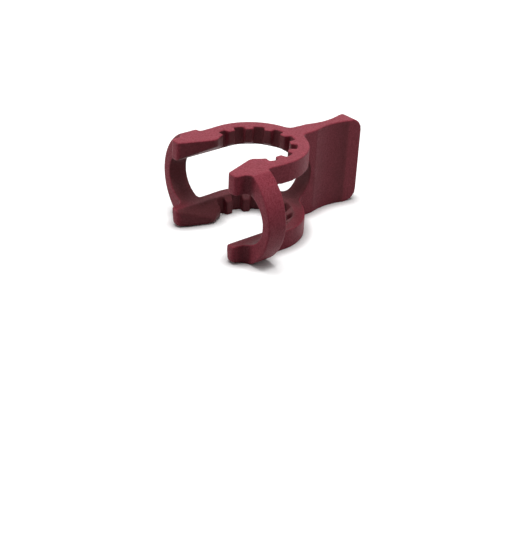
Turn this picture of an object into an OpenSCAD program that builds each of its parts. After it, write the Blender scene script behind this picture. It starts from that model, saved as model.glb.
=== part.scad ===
// Ground glass joint clip: one springy plastic moulding that snaps over two glass tubes
// and holds their ball-and-socket joint shut. Two C-shaped rings grip the tubes, and the
// joint's two flanges sit in the window between the rings.
// The joint's axis is Z, the mouth faces -Y, and the thumb tab points to +Y.

/* [Rings] */
// Height of the clip along the joint's axis
clip_h = 32; // [28:0.5:40]
// Height of each ring
ring_h = 6.7; // [5.5:0.1:8]
// Outside diameter of the rings
ring_d = 37.2; // [36:0.2:42]
// Diameter across the lands, which grip the glass tube
land_d = 24.4; // [22:0.2:26]
// Diameter across the bottoms of the notches
notch_d = 29.0; // [28:0.2:31]
// Slope of the seats that meet the joint's flanges, measured from flat
seat_angle = 37; // [30:1:50]

/* [Notches] */
// Notches in each ring
notch_count = 8; // [4:2:8]
// Angle from one notch to the next
notch_pitch = 29.5; // [26:0.5:30]
// Width of a notch
notch_w = 3.8; // [2.5:0.1:4.2]
// Width of the narrower notch beside each jaw
end_notch_w = 3.2; // [2:0.1:4.2]
// Corner radius at the bottom of a notch
notch_corner_r = 0.7; // [0.3:0.1:1.2]
// Radius that rounds the edges of the lands
land_edge_r = 0.5; // [0.2:0.1:0.7]

/* [Jaws] */
// Distance from the axis to the front of the jaws
jaw_reach = 21.4; // [20:0.2:26]
// Width across the outsides of the jaws, at their front
jaw_w = 35.6; // [34:0.2:37]
// Gap between the jaws, at their front
mouth_w = 27.2; // [26:0.2:28]
// Slope of the lead-in on each jaw, measured from the way the clip is pushed on
lead_angle = 20; // [15:0.5:24]
// Radius of the nose that snaps past the tube
nose_r = 2.8; // [1.5:0.1:3]
// Corner radius of the jaws in plan
jaw_corner_r = 1.3; // [0.5:0.1:1.6]

/* [Arches] */
// Width across the outsides of the two side arches
arch_w = 58.2; // [56:0.5:64]
// Thickness of a side arch at its middle
arch_t = 3.4; // [2.8:0.1:4.5]
// Radius of a side arch's outside
arch_r = 18.6; // [17.5:0.1:22]
// Distance from the axis to the front face of the side arches
arch_front = 16.4; // [14:0.2:18]
// Distance along the clip that a side arch takes up
arch_len = 7.2; // [5:0.2:9]
// Fillet between a side arch and the jaw in front of it
arch_front_fillet = 2.2; // [1:0.1:3]
// Fillet between a side arch and the ring behind it
arch_rear_fillet = 1.4; // [0.5:0.1:2]
// Distance from the axis to the back of the window
window_back = 23.4; // [23:0.2:27]

/* [Thumb tab] */
// Distance from the axis to the end of the tab
tab_reach = 46; // [42:0.2:52]
// Thickness of the neck that joins the tab to the rings
neck_t = 6.8; // [5.5:0.1:8]
// Fillet between the neck and the rings
neck_fillet = 2.7; // [1:0.1:4]
// Thickness of the tab at the bottom of its finger hollows
waist_t = 3.8; // [3:0.1:5]
// Distance from the axis to the middle of the finger hollows
waist_y = 33.3; // [33:0.2:37]
// Radius of the finger hollows
waist_r = 23.6; // [20:0.5:30]
// Length of a finger hollow
waist_len = 15; // [12:0.2:17]
// Thickness of the tab at its end
tip_t = 7.6; // [7:0.1:9]
// Radius of the tab's top and bottom corners
tab_corner_r = 4.2; // [2:0.1:6]

/* [Hidden] */
$fn = 96;

mid_h = clip_h / 2;
window_r = mid_h - ring_h;
ring_r = ring_d / 2;
land_r = land_d / 2;
notch_r = notch_d / 2;
// One side arch's round outside and the round end of the window within it
arch_x = arch_w / 2 - arch_r;
window_x = arch_w / 2 - arch_t - window_r;
// A radius of overlap that carries a cutter past the face it cuts
over = 1;
// Steps in an arc of an outline
steps = 8;

// Points along an arc round c, from angle a to angle b
function arc(c, r, a, b, n = steps) =
    [for (i = [0:n]) c + r * [cos(a + (b - a) * i / n), sin(a + (b - a) * i / n)]];

// The same points on the other side of the clip, in the other order
function mirrored(points) =
    [for (i = [len(points) - 1:-1:0]) [-points[i].x, points[i].y]];

module both_ways() {
    children();
    mirror([1, 0, 0]) children();
}

// Rings and jaws ------------------------------------------------------------------

// The side of a jaw leaves the ring as its tangent
jaw_corner = [jaw_w / 2, -jaw_reach];
tangent_angle = atan2(jaw_corner.y, jaw_corner.x) + acos(ring_r / norm(jaw_corner));
side_start = ring_r * [cos(tangent_angle), sin(tangent_angle)];
// The lead-in starts at the front of the mouth, and its normal points into the jaw
lead_normal = [cos(lead_angle), sin(lead_angle)];
lead_start = [mouth_w / 2, -jaw_reach];
// The nose is tangent to the lead-in and to the circle of the lands
nose_along = lead_start * lead_normal + nose_r;
nose_across = sqrt(pow(land_r + nose_r, 2) - pow(nose_along, 2));
nose = nose_along * lead_normal + nose_across * [sin(lead_angle), -cos(lead_angle)];

// Where the side of a jaw is, at a distance y along the clip
function side_x(y) =
    side_start.x + (jaw_corner.x - side_start.x) * (y - side_start.y) / (jaw_corner.y - side_start.y);

module arms_outline() {
    side = concat(
        [side_start],
        arc(jaw_corner + jaw_corner_r * [-1, 1], jaw_corner_r, 0, -90)
    );
    polygon(concat(side, mirrored(side)));
}

module mouth_outline() {
    corner = lead_start + jaw_corner_r * [(1 - sin(lead_angle)) / cos(lead_angle), 1];
    side = concat(
        arc(nose, nose_r, atan2(-nose.y, -nose.x), 180 + lead_angle),
        arc(corner, jaw_corner_r, -180 + lead_angle, -90),
        [[corner.x, -jaw_reach - over]]
    );
    polygon(concat(side, mirrored(side)));
}

// A parallel-sided slot whose mouth is rounded off into the lands on either side
module notch_outline(w) {
    edge_y = w / 2 + land_edge_r;
    edge = [sqrt(pow(land_r + land_edge_r, 2) - pow(edge_y, 2)), edge_y];
    edge_angle = atan2(edge.y, edge.x);
    side = concat(
        [(land_r - over) * [cos(edge_angle), sin(edge_angle)]],
        arc(edge, land_edge_r, 180 + edge_angle, 270, steps / 2),
        arc([notch_r, w / 2] - notch_corner_r * [1, 1], notch_corner_r, 90, 0, steps / 2)
    );
    across = [for (i = [len(side) - 1:-1:0]) [side[i].x, -side[i].y]];
    polygon(concat(side, across));
}

// Half the angle that a notch of width w takes out of the circle of the lands
function notch_half_angle(w) = asin(w / land_d);

// The notches on the right-hand side. The last one keeps its neighbouring land as wide
// as the rest, and the jaw gains what it is narrower by.
module notches_outline() {
    last = notch_count / 2 - 1;
    shift = notch_half_angle(notch_w) - notch_half_angle(end_notch_w);
    for (i = [0:last - 1])
        rotate(90 - (i + 0.5) * notch_pitch)
            notch_outline(notch_w);
    rotate(90 - (last + 0.5) * notch_pitch + shift)
        notch_outline(end_notch_w);
}

module ring_outline() {
    difference() {
        union() {
            circle(ring_r);
            arms_outline();
        }
        circle(land_r);
        mouth_outline();
        both_ways()
            notches_outline();
    }
}

// Cuts the sloping seat of a ring: a cone round the bore, carried on down both jaws.
// It stands on the ring's window face and narrows away from the window.
module seat() {
    run = 1 / tan(seat_angle);
    wide = notch_r + over * run;
    narrow = notch_r - (ring_h - over) * run;
    translate([0, 0, -over])
        cylinder(h = ring_h, r1 = wide, r2 = narrow);
    rotate([90, 0, 0])
        linear_extrude(jaw_reach + over)
            polygon([
                [-wide, -over], [wide, -over],
                [narrow, ring_h - over], [-narrow, ring_h - over]
            ]);
}

// Side arches ---------------------------------------------------------------------

module side_arch() {
    front = -arch_front;
    rear = front + arch_len;
    root = (notch_r + side_start.x) / 2;
    // Each fillet starts just inside the arm, so that the two are one solid
    bite = 0.05;
    front_fillet = [side_x(front) - bite + arch_front_fillet, front - arch_front_fillet];
    rear_fillet = [side_x(rear) - bite + arch_rear_fillet, rear + arch_rear_fillet];
    tip_x = arch_w / 2 + over;
    plan = concat(
        [[root, front_fillet.y]],
        arc(front_fillet, arch_front_fillet, 180, 90),
        [[tip_x, front], [tip_x, rear]],
        arc(rear_fillet, arch_rear_fillet, 270, 180),
        [[root, rear_fillet.y]]
    );
    intersection() {
        linear_extrude(clip_h)
            polygon(plan);
        translate([arch_x, 0, mid_h])
            rotate([90, 0, 0])
                cylinder(h = 2 * jaw_reach, r = arch_r, $fn = 2 * $fn);
    }
}

// Thumb tab -----------------------------------------------------------------------

module tab_outline() {
    neck = neck_t / 2;
    fillet = [neck + neck_fillet,
              sqrt(pow(ring_r + neck_fillet, 2) - pow(neck + neck_fillet, 2))];
    hollow = [waist_t / 2 + waist_r, waist_y];
    hollow_angle = asin(waist_len / 2 / waist_r);
    side = concat(
        [[neck + neck_fillet, notch_r + over]],
        arc(fillet, neck_fillet, 180 + atan2(fillet.y, fillet.x), 180),
        arc(hollow, waist_r, 180 + hollow_angle, 180 - hollow_angle, 2 * steps),
        [[tip_t / 2, tab_reach]]
    );
    polygon(concat(side, mirrored(side)));
}

module tab_profile() {
    corner = [tab_reach, clip_h] - tab_corner_r * [1, 1];
    polygon(concat(
        [[notch_r, clip_h]],
        arc(corner, tab_corner_r, 90, 0),
        arc([corner.x, tab_corner_r], tab_corner_r, 0, -90),
        [[notch_r, 0]]
    ));
}

module tab() {
    intersection() {
        linear_extrude(clip_h)
            tab_outline();
        rotate([90, 0, 90])
            linear_extrude(2 * tip_t, center = true)
                tab_profile();
    }
}

// The window between the rings: round-ended seen from the front, and round at its back
// seen from the side
module window() {
    length = 2 * (tab_reach + jaw_reach);
    intersection() {
        translate([0, 0, mid_h])
            rotate([90, 0, 0])
                linear_extrude(length, center = true)
                    union() {
                        square([2 * window_x, 2 * window_r], center = true);
                        both_ways()
                            translate([window_x, 0])
                                circle(window_r);
                    }
        translate([0, 0, mid_h])
            rotate([90, 0, 90])
                linear_extrude(length, center = true)
                    union() {
                        translate([window_back - window_r - length, -window_r])
                            square([length, 2 * window_r]);
                        translate([window_back - window_r, 0])
                            circle(window_r);
                    }
    }
}

module clip() {
    color("#8a434a")
        difference() {
            union() {
                linear_extrude(clip_h)
                    ring_outline();
                both_ways()
                    side_arch();
                tab();
            }
            window();
            translate([0, 0, clip_h - ring_h])
                seat();
            translate([0, 0, ring_h])
                mirror([0, 0, 1])
                    seat();
        }
}

clip();
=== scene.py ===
from math import cos, radians, sin

import bmesh
import bpy
from mathutils import Matrix, Vector


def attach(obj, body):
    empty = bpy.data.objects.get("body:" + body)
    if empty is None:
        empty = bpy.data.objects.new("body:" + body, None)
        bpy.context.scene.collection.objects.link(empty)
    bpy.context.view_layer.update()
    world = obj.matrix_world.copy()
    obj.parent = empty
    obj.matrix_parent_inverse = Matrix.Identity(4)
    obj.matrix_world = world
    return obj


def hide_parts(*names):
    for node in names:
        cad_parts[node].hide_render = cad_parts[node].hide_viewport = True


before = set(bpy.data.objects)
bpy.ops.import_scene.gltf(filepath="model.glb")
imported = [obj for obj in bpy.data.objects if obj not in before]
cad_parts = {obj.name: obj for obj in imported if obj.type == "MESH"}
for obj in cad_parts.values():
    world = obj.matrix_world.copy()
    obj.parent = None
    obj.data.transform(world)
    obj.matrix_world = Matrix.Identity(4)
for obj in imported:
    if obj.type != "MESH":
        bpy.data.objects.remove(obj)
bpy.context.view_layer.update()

# Lengths are in metres. The joint's axis is Z, the mouth faces -Y, and the tab points to +Y.
MM = 0.001


def srgb(code):
    """The linear colour of an sRGB hex code."""
    parts = [int(code[i:i + 2], 16) / 255 for i in (1, 3, 5)]
    linear = [p / 12.92 if p <= 0.04045 else ((p + 0.055) / 1.055) ** 2.4 for p in parts]
    return (*linear, 1.0)


def direction(azimuth, elevation):
    """The way from the clip to a place at these angles, in degrees. Azimuth 0 is in front
    of the mouth, and it grows towards +X."""
    az, el = radians(azimuth), radians(elevation)
    return Vector((sin(az) * cos(el), -cos(az) * cos(el), sin(el)))


def add_node(tree, kind, inputs=None, **settings):
    """Adds a node. Each input is a value, or the output socket that feeds it."""
    node = tree.nodes.new(kind)
    for name, value in settings.items():
        setattr(node, name, value)
    for name, value in (inputs or {}).items():
        if isinstance(value, bpy.types.NodeSocket):
            tree.links.new(value, node.inputs[name])
        else:
            node.inputs[name].default_value = value
    return node


def new_tree(block):
    """Turns a material's or world's nodes on and clears them."""
    block.use_nodes = True
    block.node_tree.nodes.clear()
    return block.node_tree


def add_object(name, data):
    """Puts a mesh, camera or lamp in the scene."""
    added = bpy.data.objects.new(name, data)
    bpy.context.scene.collection.objects.link(added)
    return added


def place_mesh(bm, name):
    """Puts a finished bmesh in the scene as an object."""
    mesh = bpy.data.meshes.new(name)
    bm.to_mesh(mesh)
    bm.free()
    return add_object(name, mesh)


# ---- Camera ---------------------------------------------------------------------

# The view's size, and the distance from the lens to the sensor, in pixels
IMAGE_W, IMAGE_H = 510, 557
FOCAL_PX = 1080
# The longer side of the sensor, in millimetres
SENSOR = 36
# The angles the clip is seen from, and the tilt of the camera about its own axis
AZIMUTH, ELEVATION, ROLL = 50.04, 30.64, 2.74
CAMERA_PLACE = Vector((256.60, -211.80, 176.66)) * MM
NEAREST_SEEN = 10 * MM


def make_camera():
    """Puts the camera in its place and points it back at the clip."""
    back = direction(AZIMUTH, ELEVATION)
    az, roll = radians(AZIMUTH), radians(ROLL)
    level_right = Vector((cos(az), sin(az), 0))
    level_up = back.cross(level_right)
    right = level_right * cos(roll) + level_up * sin(roll)
    up = level_up * cos(roll) - level_right * sin(roll)
    data = bpy.data.cameras.new("camera")
    data.sensor_fit = "AUTO"
    data.sensor_width = SENSOR
    data.lens = FOCAL_PX * SENSOR / max(IMAGE_W, IMAGE_H)
    data.clip_start = NEAREST_SEEN
    camera = add_object("camera", data)
    turn = Matrix((right, up, back)).transposed().to_4x4()
    camera.matrix_world = Matrix.Translation(CAMERA_PLACE) @ turn
    bpy.context.scene.camera = camera


make_camera()

# ---- Moulded acetal -------------------------------------------------------------

# The skin is mottled at about 0.1 mm, too fine to show, so it is drawn coarser
MOTTLE = 0.65 * MM
MOTTLE_DEPTH = 0.08 * MM
MOTTLE_STRENGTH = 0.6
# The pits of the mottle are darker and rougher, and its peaks paler and smoother
PIT_PIGMENT, PEAK_PIGMENT = "#7f2734", "#a34554"
PIT_ROUGHNESS, PEAK_ROUGHNESS = 0.56, 0.44
# Clouds in the pigment, where the flow of the plastic mixed it unevenly, and their shades
CLOUDS = 4 * MM
DARK_CLOUD, PALE_CLOUD = 0.94, 1.06
# Noise keeps mostly between these, so they stand for its lowest and highest value
NOISE_LOW, NOISE_HIGH = 0.3, 0.7
# Acetal's index of refraction, and how much of its gloss shows, where 0.5 is all of it
ACETAL_IOR = 1.48
GLOSS = 0.2

# Faces that look towards this point, low on the joint's axis, are the inner walls, which get
# painted shade
PAINTED_SHADE_MIDDLE = Vector((0, 0, 8)) * MM
# From -1 for a face that looks straight at it to 1 for one that looks straight away: an
# outer face is above the first limit, and an inner wall below the second
OUTER_LIMIT = 0.2
WALL_LIMIT = -0.45
# A greyer tint painted on the inner walls, as their shade looks, and its share in their colour
SHADE_GREY = "#7c4f4e"
WALL_SHADE_GREY = 0.45
# How sharp an edge is where it starts to look rubbed and where it is rubbed most, on a
# scale on which a flat face is 0.5
EDGE_FAINT, EDGE_FULL = 0.52, 0.62
# The corner between a jaw and its side arch gets a painted shade, where it lies deep in
# shadow. This is its place in plan, and how far from it the change of shade starts and ends.
PAINTED_SHADE_CORNER = Vector((18.9, 17.6, 0)) * MM
CORNER_RIM, CORNER_CORE = 3.2 * MM, 0.8 * MM
# Along the tab: where its finger hollows start, where its flat tip starts, and the stretches
# before and after over which the shade changes. The hollows get painted shade, paling towards
# the tip, and the tip a painted light.
HOLLOW_START = 26 * MM
HOLLOW_FADE = 1.5 * MM
TIP_START = 40 * MM
TIP_FADE_BEFORE, TIP_FADE_AFTER = 0.5 * MM, 0.9 * MM
# The shade of the outer faces, a painted light, and what the walls, the edges, the corners,
# the start and the end of the finger hollows and the tip change it by: painted shade on the
# walls, corners and hollows, painted light on the tip, and paler worn edges
OUTER_SHADE = 1.1
WALL_SHADE = 0.69
EDGE_SHADE = 1.2
CORNER_SHADE = 0.5
HOLLOW_SHADE = 0.84
HOLLOW_END_SHADE = 1.14
TIP_SHADE = 1.4


def facing_out(tree, coords):
    """1 on faces that look away from the middle of the painted shade, -1 on those that look at
    it.
    """
    from_middle = add_node(tree, "ShaderNodeVectorMath", {
        0: coords["Object"], 1: PAINTED_SHADE_MIDDLE,
    }, operation="SUBTRACT")
    outward = add_node(tree, "ShaderNodeVectorMath", {
        0: from_middle.outputs["Vector"],
    }, operation="NORMALIZE")
    return add_node(tree, "ShaderNodeVectorMath", {
        0: outward.outputs["Vector"], 1: coords["Normal"],
    }, operation="DOT_PRODUCT").outputs["Value"]


def painted_light_shade_and_edge_wear(tree, coords, outness):
    """Painted light and shade, with pale worn edges: darker on the inner walls, in the corners
    beside the jaws and in the finger hollows, where shade falls, paler on the outer faces and
    palest on the flat tip of the tab, where a painted light falls."""
    place = coords["Object"]
    sharpness = add_node(tree, "ShaderNodeNewGeometry").outputs["Pointiness"]
    either_side = add_node(tree, "ShaderNodeVectorMath", {0: place}, operation="ABSOLUTE")
    in_plan = add_node(tree, "ShaderNodeVectorMath", {
        0: either_side.outputs["Vector"], 1: (1, 1, 0),
    }, operation="MULTIPLY")
    from_corner = add_node(tree, "ShaderNodeVectorMath", {
        0: in_plan.outputs["Vector"], 1: PAINTED_SHADE_CORNER,
    }, operation="DISTANCE").outputs["Value"]
    along_tab = add_node(tree, "ShaderNodeSeparateXYZ", {"Vector": place}).outputs["Y"]
    lean = add_node(tree, "ShaderNodeVectorMath", {0: coords["Normal"]}, operation="ABSOLUTE")
    leans = add_node(tree, "ShaderNodeSeparateXYZ", {"Vector": lean.outputs["Vector"]}).outputs
    sideways = leans["X"]
    upright = add_node(tree, "ShaderNodeMath", {
        0: 1.0, 1: leans["Z"],
    }, operation="SUBTRACT").outputs["Value"]
    tip_fade = TIP_START - TIP_FADE_BEFORE, TIP_START + TIP_FADE_AFTER

    # What is measured, where the change starts and ends, the shade after it over the
    # shade before it, and how much of it shows on a face
    changes = (
        # Painted shade: the inner walls are darkened, as the lamps barely reach them
        (outness, OUTER_LIMIT, WALL_LIMIT, WALL_SHADE, 1.0),
        (sharpness, EDGE_FAINT, EDGE_FULL, EDGE_SHADE, 1.0),
        # Painted shade in the corners beside the jaws
        (from_corner, CORNER_RIM, CORNER_CORE, CORNER_SHADE, upright),
        # Painted shade in the finger hollows, paling towards the tip, and painted light on the
        # tip
        (along_tab, HOLLOW_START - HOLLOW_FADE, HOLLOW_START, HOLLOW_SHADE, sideways),
        (along_tab, HOLLOW_START, TIP_START, HOLLOW_END_SHADE, sideways),
        (along_tab, *tip_fade, TIP_SHADE, sideways),
    )
    # Painted light: the outer faces are lifted paler
    shade = OUTER_SHADE
    for measure, start, end, after, share in changes:
        changed = add_node(tree, "ShaderNodeMapRange", {
            "Value": measure, "From Min": start, "From Max": end,
            "To Min": 1.0, "To Max": after,
        }, interpolation_type="SMOOTHSTEP")
        shown = add_node(tree, "ShaderNodeMix", {
            "Factor": share, "A": 1.0, "B": changed.outputs["Result"],
        })
        shade = add_node(tree, "ShaderNodeMath", {
            0: shade, 1: shown.outputs["Result"],
        }, operation="MULTIPLY").outputs["Value"]
    return shade


def acetal():
    """Acetal moulded in a spark-eroded tool: an even, low-sheen skin, wine red right
    through and finely mottled, which goes glossy only where it is seen edge-on."""
    material = bpy.data.materials.new("moulded_acetal")
    tree = new_tree(material)
    coords = add_node(tree, "ShaderNodeTexCoord").outputs
    outness = facing_out(tree, coords)
    mottle = add_node(tree, "ShaderNodeTexNoise", {
        "Vector": coords["Object"],
        "Scale": 1 / MOTTLE,
        "Detail": 2.0,
        "Roughness": 0.9,
    }).outputs["Fac"]
    clouds = add_node(tree, "ShaderNodeTexNoise", {
        "Vector": coords["Object"],
        "Scale": 1 / CLOUDS,
        "Detail": 3.0,
        "Roughness": 0.55,
    }).outputs["Fac"]
    height = add_node(tree, "ShaderNodeMapRange", {
        "Value": mottle, "From Min": NOISE_LOW, "From Max": NOISE_HIGH,
    })
    pigment = add_node(tree, "ShaderNodeMix", {
        "Factor": height.outputs["Result"],
        "A": srgb(PIT_PIGMENT),
        "B": srgb(PEAK_PIGMENT),
    }, data_type="RGBA")
    # Painted shade: the inner walls are mixed towards a greyer tint, as their shade looks
    shade_grey_share = add_node(tree, "ShaderNodeMapRange", {
        "Value": outness, "From Min": OUTER_LIMIT, "From Max": WALL_LIMIT,
        "To Min": 0.0, "To Max": WALL_SHADE_GREY,
    }, interpolation_type="SMOOTHSTEP")
    shade_greyed = add_node(tree, "ShaderNodeMix", {
        "Factor": shade_grey_share.outputs["Result"],
        "A": pigment.outputs["Result"],
        "B": srgb(SHADE_GREY),
    }, data_type="RGBA")
    cloudy = add_node(tree, "ShaderNodeMapRange", {
        "Value": clouds, "From Min": NOISE_LOW, "From Max": NOISE_HIGH,
        "To Min": DARK_CLOUD, "To Max": PALE_CLOUD,
    })
    shade = add_node(tree, "ShaderNodeMath", {
        0: cloudy.outputs["Result"], 1: painted_light_shade_and_edge_wear(tree, coords, outness),
    }, operation="MULTIPLY")
    colour = add_node(tree, "ShaderNodeMix", {
        "Factor": 1.0,
        "A": shade_greyed.outputs["Result"],
        "B": shade.outputs["Value"],
    }, data_type="RGBA", blend_type="MULTIPLY")
    rough = add_node(tree, "ShaderNodeMapRange", {
        "Value": mottle, "From Min": NOISE_LOW, "From Max": NOISE_HIGH,
        "To Min": PIT_ROUGHNESS, "To Max": PEAK_ROUGHNESS,
    })
    bump = add_node(tree, "ShaderNodeBump", {
        "Height": mottle, "Strength": MOTTLE_STRENGTH, "Distance": MOTTLE_DEPTH,
    })
    shader = add_node(tree, "ShaderNodeBsdfPrincipled", {
        "Base Color": colour.outputs["Result"],
        "Roughness": rough.outputs["Result"],
        "IOR": ACETAL_IOR,
        "Specular IOR Level": GLOSS,
        "Normal": bump.outputs["Normal"],
    })
    add_node(tree, "ShaderNodeOutputMaterial", {"Surface": shader.outputs["BSDF"]})
    return material


# ---- Clip -----------------------------------------------------------------------

# Points of the solid's mesh this near each other are one point
SAME_POINT = 0.001 * MM
# The mesh is rebuilt in cells this size, its edges are worn round by smoothing, and then
# it keeps this share of its faces
CELL = 0.22 * MM
ROUNDING_STEPS = 12
KEPT_FACES = 0.4
# How far a step of smoothing moves a point towards the middle of its neighbours
SMOOTHING = 0.5
# The lower jaws are rounder than the rest. Below their top faces, that part lies in front
# of JAW_START and within JAW_INSIDE of the middle, and at any width in front of JAW_FRONT.
JAW_START = -3.5 * MM
JAW_FRONT = -16.8 * MM
JAW_INSIDE = 17.2 * MM
LOWER_JAW_TOP = 6.7 * MM
JAW_STEPS = 85
# How far into that part the rounding grows to its full strength
JAW_FADE = 2 * MM


def rounded_copy(node, name):
    """A copy of a CAD node's mesh with soft moulded edges."""
    bm = bmesh.new()
    bm.from_mesh(node.data)
    bmesh.ops.remove_doubles(bm, verts=bm.verts, dist=SAME_POINT)
    piece = place_mesh(bm, name)
    remesh = piece.modifiers.new("cells", "REMESH")
    remesh.mode = "VOXEL"
    remesh.voxel_size = CELL
    smooth = piece.modifiers.new("rounding", "SMOOTH")
    smooth.factor = SMOOTHING
    smooth.iterations = ROUNDING_STEPS
    thin = piece.modifiers.new("fewer_faces", "DECIMATE")
    thin.ratio = KEPT_FACES
    shaped = piece.evaluated_get(bpy.context.evaluated_depsgraph_get())
    mesh = bpy.data.meshes.new_from_object(shaped)
    piece.modifiers.clear()
    piece.data = mesh
    return piece


def depth_in_jaw(place):
    """0 where a lower jaw's rounder part starts, and 1 or more where it is fully round."""
    inside = min(JAW_START - place.y, JAW_INSIDE - abs(place.x))
    at_front = JAW_FRONT - place.y
    return min(LOWER_JAW_TOP - place.z, max(inside, at_front)) / JAW_FADE


def round_off_jaws(piece):
    """Smooths the lower jaws step by step, with more steps the deeper in a jaw."""
    bm = bmesh.new()
    bm.from_mesh(piece.data)
    depths = [(v, depth_in_jaw(v.co)) for v in bm.verts]
    for step in range(JAW_STEPS):
        depths = [(v, depth) for v, depth in depths if depth > step / JAW_STEPS]
        bmesh.ops.smooth_vert(
            bm, verts=[v for v, depth in depths], factor=SMOOTHING,
            use_axis_x=True, use_axis_y=True, use_axis_z=True)
    bm.to_mesh(piece.data)
    bm.free()


clip = rounded_copy(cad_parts["clip"], "moulded_clip")
round_off_jaws(clip)
clip.data.shade_smooth()
clip.data.materials.append(acetal())
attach(clip, "root")
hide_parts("clip")

# ---- Table and light --------------------------------------------------------------

# How far the table reaches from its middle to each side
TABLE_REACH = 1.5
# The paper as it lights the clip, and as it is seen
PAPER_BOUNCE = "#898989"
PAPER_SEEN = "#f2f2f2"
# How near the object has to be to darken the table, how much it does, and how many rays
# each point sends to find it
CONTACT_GAP = 4 * MM
CONTACT_DEPTH = 3
CONTACT_RAYS = 16
# Up to the first distance from the middle the lamps give the paper the rest of its white.
# From the second on, where they are weak, it has its whole white of its own.
LAMPLIT, UNLIT = 0.1, 0.35
LAMPLIT_GLOW, UNLIT_GLOW = 0.55, 1.0


def seen_directly(tree):
    """1 for a ray from the camera, or one that a gloss or a glass sends on."""
    path = add_node(tree, "ShaderNodeLightPath").outputs
    mirrored = add_node(tree, "ShaderNodeMath", {
        0: path["Is Glossy Ray"], 1: path["Is Transmission Ray"],
    }, operation="MAXIMUM")
    return add_node(tree, "ShaderNodeMath", {
        0: path["Is Camera Ray"], 1: mirrored.outputs["Value"],
    }, operation="MAXIMUM").outputs["Value"]


def white_paper():
    """Matt white paper. Seen directly it is lifted to plain white, and keeps the object's
    shadow, which is darkest in the narrow gaps close to where the object stands."""
    material = bpy.data.materials.new("white_paper")
    tree = new_tree(material)
    bounced = add_node(tree, "ShaderNodeBsdfDiffuse", {"Color": srgb(PAPER_BOUNCE)})
    sheet = add_node(tree, "ShaderNodeBsdfDiffuse", {"Color": srgb(PAPER_SEEN)})
    open_sky = add_node(tree, "ShaderNodeAmbientOcclusion", {
        "Distance": CONTACT_GAP,
    }, samples=CONTACT_RAYS)
    gap = add_node(tree, "ShaderNodeMath", {
        0: open_sky.outputs["AO"], 1: CONTACT_DEPTH,
    }, operation="POWER")
    place = add_node(tree, "ShaderNodeTexCoord").outputs["Object"]
    from_middle = add_node(tree, "ShaderNodeVectorMath", {0: place}, operation="LENGTH")
    glow = add_node(tree, "ShaderNodeMapRange", {
        "Value": from_middle.outputs["Value"], "From Min": LAMPLIT, "From Max": UNLIT,
        "To Min": LAMPLIT_GLOW, "To Max": UNLIT_GLOW,
    })
    shaded_glow = add_node(tree, "ShaderNodeMath", {
        0: gap.outputs["Value"], 1: glow.outputs["Result"],
    }, operation="MULTIPLY")
    lift = add_node(tree, "ShaderNodeEmission", {
        "Color": srgb("#ffffff"), "Strength": shaded_glow.outputs["Value"],
    })
    lifted = add_node(tree, "ShaderNodeAddShader", {
        0: sheet.outputs["BSDF"], 1: lift.outputs["Emission"],
    })
    either = add_node(tree, "ShaderNodeMixShader", {
        0: seen_directly(tree), 1: bounced.outputs["BSDF"], 2: lifted.outputs["Shader"],
    })
    add_node(tree, "ShaderNodeOutputMaterial", {"Surface": either.outputs["Shader"]})
    return material


bm = bmesh.new()
bmesh.ops.create_grid(bm, x_segments=1, y_segments=1, size=TABLE_REACH)
table = place_mesh(bm, "table")
table.data.materials.append(white_paper())

# Each soft box: azimuth and elevation in degrees, and power in watts
SOFT_BOXES = {
    "top_box": (0, 90, 4.8),
    "right_box": (125, 35, 1.0),
    "left_box": (315, 65, 1.5),
    "low_box": (330, 15, 1.3),
}
BOX_SIZE = 0.4
BOX_DISTANCE = 0.9
# About the middle of the clip
BOX_AIM = Vector((0, 10, 16)) * MM


def hang_soft_box(name, azimuth, elevation, power):
    """A square lamp that faces the middle of the clip."""
    data = bpy.data.lights.new(name, "AREA")
    data.shape = "SQUARE"
    data.size = BOX_SIZE
    data.energy = power
    lamp = add_object(name, data)
    outward = direction(azimuth, elevation)
    turn = outward.to_track_quat("Z", "Y").to_matrix().to_4x4()
    lamp.matrix_world = Matrix.Translation(BOX_AIM + outward * BOX_DISTANCE) @ turn


def white_room():
    """A room that is white where it is seen directly, and leaves the light to the lamps."""
    world = bpy.data.worlds.new("room")
    tree = new_tree(world)
    dark = add_node(tree, "ShaderNodeBackground", {"Color": srgb("#ffffff"), "Strength": 0.0})
    white = add_node(tree, "ShaderNodeBackground", {"Color": srgb("#ffffff"), "Strength": 1.0})
    either = add_node(tree, "ShaderNodeMixShader", {
        0: seen_directly(tree), 1: dark.outputs["Background"], 2: white.outputs["Background"],
    })
    add_node(tree, "ShaderNodeOutputWorld", {"Surface": either.outputs["Shader"]})
    return world


for name, (azimuth, elevation, power) in SOFT_BOXES.items():
    hang_soft_box(name, azimuth, elevation, power)
bpy.context.scene.world = white_room()
bpy.context.scene.view_settings.view_transform = "Standard"
